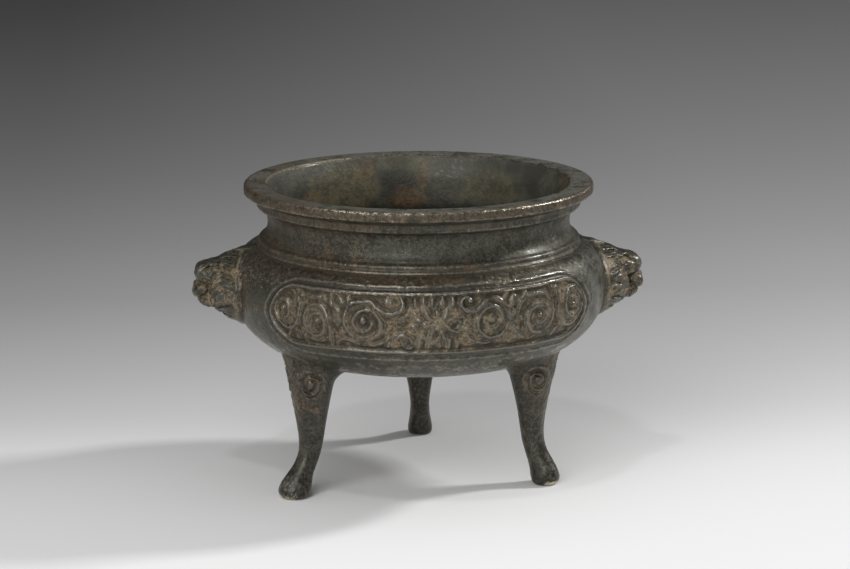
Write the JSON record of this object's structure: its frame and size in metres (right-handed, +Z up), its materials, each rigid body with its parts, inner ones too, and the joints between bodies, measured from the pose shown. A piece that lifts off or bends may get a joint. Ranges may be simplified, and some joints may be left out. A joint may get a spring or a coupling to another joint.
{
  "type": "tripod censer",
  "caption": "Squat cast bronze incense censer with a flat everted rim, a waisted neck, scroll panels on the belly, lion masks at the sides and cabriole legs.",
  "frame": {"origin": "middle of the part's bounding box on the surface that the feet stand on", "axes": "+X through the two lion masks, towards the right one; +Y away from the front panel; +Z up"},
  "size_m": [0.1296, 0.1076, 0.0861],
  "materials": {
    "bowl_bronze": "cast bronze, dark green-brown patina, satin",
    "leg_bronze": "cast bronze, dark green-brown patina, worn golden at the toes",
    "mask_bronze": "cast bronze, brown patina, polished on the brows",
    "rivet_bronze": "bronze, dark, hammered"
  },
  "bodies": {
    "root": {"bowl": "bowl_bronze", "leg_front_left": "leg_bronze", "leg_front_right": "leg_bronze", "leg_rear": "leg_bronze", "lion_mask_left": "mask_bronze", "lion_mask_right": "mask_bronze", "mask_rivet_left": "rivet_bronze", "mask_rivet_right": "rivet_bronze"}
  },
  "joints": []
}
